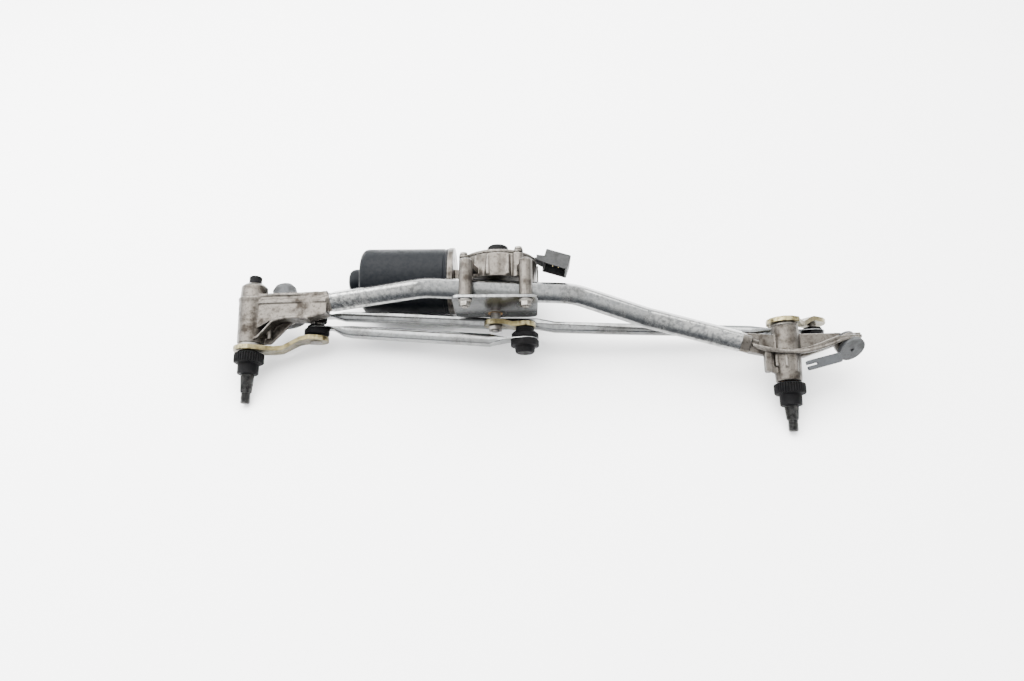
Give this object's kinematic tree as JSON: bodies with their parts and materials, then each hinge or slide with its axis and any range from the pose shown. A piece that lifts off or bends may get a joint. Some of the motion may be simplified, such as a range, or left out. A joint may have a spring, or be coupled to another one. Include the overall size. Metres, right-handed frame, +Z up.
{
  "type": "windshield wiper linkage",
  "caption": "Wiper linkage on a bent square tube: a gear motor turns a crank, and rods swing the levers of the threaded spindles in their cast housings on rubber mounts.",
  "frame": {"origin": "centre of the bounding box at the floor that the linkage lies on", "axes": "+X from the left spindle to the right one, +Y away from the threaded spindle ends, +Z up with the linkage lying on its spindle ends and motor"},
  "size_m": [0.6008, 0.196, 0.1058],
  "materials": {
    "cast": "as-cast zinc and aluminium alloy, weathered grey",
    "zinc": "bright zinc plated steel",
    "chromate": "yellow chromated zinc plate",
    "steel": "plain turned steel",
    "dark_steel": "dark phosphated steel",
    "can_paint": "satin black enamel",
    "black_plastic": "black moulded plastic",
    "connector_plastic": "dark grey moulded plastic",
    "rubber": "grey moulded rubber",
    "slate_plastic": "slate blue-grey moulded plastic",
    "brass": "bright brass",
    "bronze": "oil-filled sintered bronze",
    "copper": "wound copper and its laminations",
    "magnet": "dull dark ferrite",
    "gear_plastic": "natural acetal"
  },
  "bodies": {
    "frame": {"frame_tube": "zinc", "left_spindle_housing": "cast", "right_spindle_housing": "cast", "left_bush_lower": "bronze", "left_bush_upper": "bronze", "right_bush_lower": "bronze", "right_bush_upper": "bronze", "left_rear_cap": "black_plastic", "left_rubber_mount": "rubber", "left_mount_sleeve": "steel", "right_rubber_mount": "rubber", "right_mount_clip": "slate_plastic", "gearbox_housing": "cast", "gearbox_cover": "cast", "gearbox_plug": "black_plastic", "cover_screw_1": "steel", "cover_screw_2": "steel", "cover_screw_3": "steel", "motor_can": "can_paint", "magnet_upper": "magnet", "magnet_lower": "magnet", "brush_plate": "black_plastic", "rear_bearing": "bronze", "front_bearing": "bronze", "motor_bracket": "zinc", "motor_bolt_left": "steel", "motor_bolt_right": "steel", "connector_socket": "connector_plastic", "connector_contact_1": "brass", "connector_contact_2": "brass", "output_bush": "bronze"},
    "armature": {"armature_shaft": "steel", "rotor_core": "copper", "commutator": "copper"},
    "crank": {"output_shaft": "steel", "worm_wheel": "gear_plastic", "crank_arm": "chromate", "crank_nut": "steel", "crank_ball_shank": "steel", "crank_boot": "black_plastic"},
    "left_wiper_spindle": {"left_spindle": "dark_steel", "left_dust_cap": "black_plastic", "left_lever": "chromate", "left_ball_pin": "steel", "left_thrust_washer": "steel", "left_spacer": "dark_steel"},
    "right_wiper_spindle": {"right_spindle": "dark_steel", "right_dust_cap": "black_plastic", "right_lever": "chromate", "right_ball_shank": "steel", "right_thrust_washer": "steel", "right_seal": "black_plastic"},
    "rod_1": {"rod_1_bar": "zinc", "rod_1_left_socket": "black_plastic", "rod_1_crank_socket": "black_plastic", "crank_ball": "steel"},
    "rod_2": {"rod_2_bar": "zinc", "rod_2_left_socket": "black_plastic", "rod_2_right_socket": "black_plastic", "right_lever_ball": "steel"}
  },
  "joints": [
    {"name": "armature_spin", "type": "hinge", "parent": "frame", "child": "armature", "pos_m": [-0.02987, 0.06396, 0.034], "axis": [1, 0, 0], "range_deg": [0, 7200]},
    {"name": "crank_turn", "type": "hinge", "parent": "frame", "child": "crank", "pos_m": [-0.04587, -0.01404, 0.03363], "axis": [0, 0.9212, 0.389], "range_deg": [0, 180]},
    {"name": "left_wipe", "type": "hinge", "parent": "frame", "child": "left_wiper_spindle", "pos_m": [-0.28487, -0.01107, 0.0266], "axis": [0, 0.9212, 0.389], "range_deg": [0, 66.4]},
    {"name": "right_wipe", "type": "hinge", "parent": "frame", "child": "right_wiper_spindle", "pos_m": [0.22813, -0.01598, 0.03823], "axis": [0, 0.9212, 0.389], "range_deg": [0, 64.3]},
    {"name": "rod_1_pivot", "type": "hinge", "parent": "left_wiper_spindle", "child": "rod_1", "pos_m": [-0.22337, -0.00664, 0.01613], "axis": [0, 0.9212, 0.389], "range_deg": [-78.7, 0]},
    {"name": "rod_2_pivot", "type": "hinge", "parent": "left_wiper_spindle", "child": "rod_2", "pos_m": [-0.22337, -0.00664, 0.01613], "axis": [0, 0.9212, 0.389], "range_deg": [-70.3, 0]}
  ],
  "couplings": [
    {"joint": "crank_turn", "follows": "armature_spin", "ratio": 0.025},
    {"joint": "left_wipe", "follows": "armature_spin", "ratio": 0.0092118},
    {"joint": "right_wipe", "follows": "armature_spin", "ratio": 0.0089226},
    {"joint": "rod_1_pivot", "follows": "armature_spin", "ratio": -0.010924},
    {"joint": "rod_2_pivot", "follows": "armature_spin", "ratio": -0.0097521}
  ]
}
